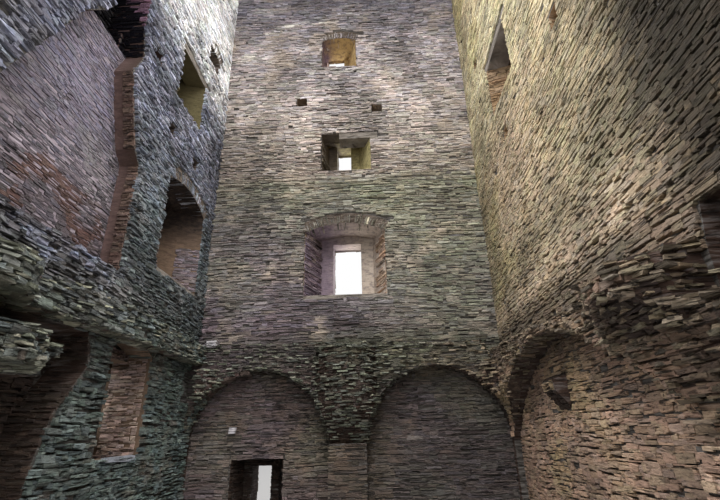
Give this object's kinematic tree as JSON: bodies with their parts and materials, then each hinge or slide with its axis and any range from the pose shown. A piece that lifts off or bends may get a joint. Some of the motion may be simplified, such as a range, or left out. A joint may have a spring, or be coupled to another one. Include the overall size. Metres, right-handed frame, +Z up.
{
  "type": "castle keep ruin",
  "caption": "Roofless slate-rubble castle keep: thick walls in storeys with splayed window niches, a fireplace and the stumps of a groin vault.",
  "frame": {"origin": "on the ground, under the middle of the rectangular plan", "axes": "+Z up, +Y from the front wall with the doorway to the back wall with the window column, +X to the right when looking from front to back"},
  "size_m": [9, 14.9, 16.5],
  "materials": {
    "slate_warm": "matte",
    "slate_cool": "matte",
    "slate_ochre": "matte",
    "slate_dark": "matte",
    "slate_edge": "matte",
    "slab": "matte",
    "plaster": "matte"
  },
  "bodies": {
    "root": {"ground_wall_back": "slate_dark", "ground_wall_front": "slate_dark", "ground_wall_right": "slate_dark", "ground_wall_left_near": "slate_dark", "ground_wall_left_far": "slate_dark", "first_wall_back": "slate_warm", "first_wall_front": "slate_warm", "first_wall_left": "slate_cool", "first_wall_right": "slate_ochre", "second_wall_back": "slate_warm", "second_wall_front": "slate_warm", "second_wall_left": "slate_cool", "second_wall_right": "slate_ochre", "third_wall_back": "slate_warm", "third_wall_front": "slate_warm", "third_wall_left": "slate_cool", "third_wall_right": "slate_ochre", "ruined_top_back": "slate_warm", "ruined_top_front": "slate_warm", "ruined_top_left": "slate_cool", "ruined_top_right": "slate_ochre", "chimney_hood_left": "slate_cool", "chimney_stack_left": "slate_cool", "vault_haunch_back": "slate_dark", "vault_haunch_front": "slate_dark", "vault_haunch_left": "slate_dark", "vault_haunch_right": "slate_dark", "wall_pilasters": "slate_dark", "springer_back": "slate_dark", "springer_front": "slate_dark", "springer_left": "slate_dark", "springer_right": "slate_dark", "vault_corner_back_left": "slate_dark", "vault_corner_back_right": "slate_dark", "vault_corner_front_left": "slate_dark", "vault_corner_front_right": "slate_dark", "niche_arch_first_back": "slate_edge", "niche_arch_first_left": "slate_edge", "niche_arch_first_front": "slate_edge", "niche_arch_ground_left": "slate_edge", "second_storey_lintels": "slab", "third_storey_arches": "slate_edge", "sills": "slab", "door_arch": "slate_edge", "fireplace_back": "plaster"}
  },
  "joints": []
}
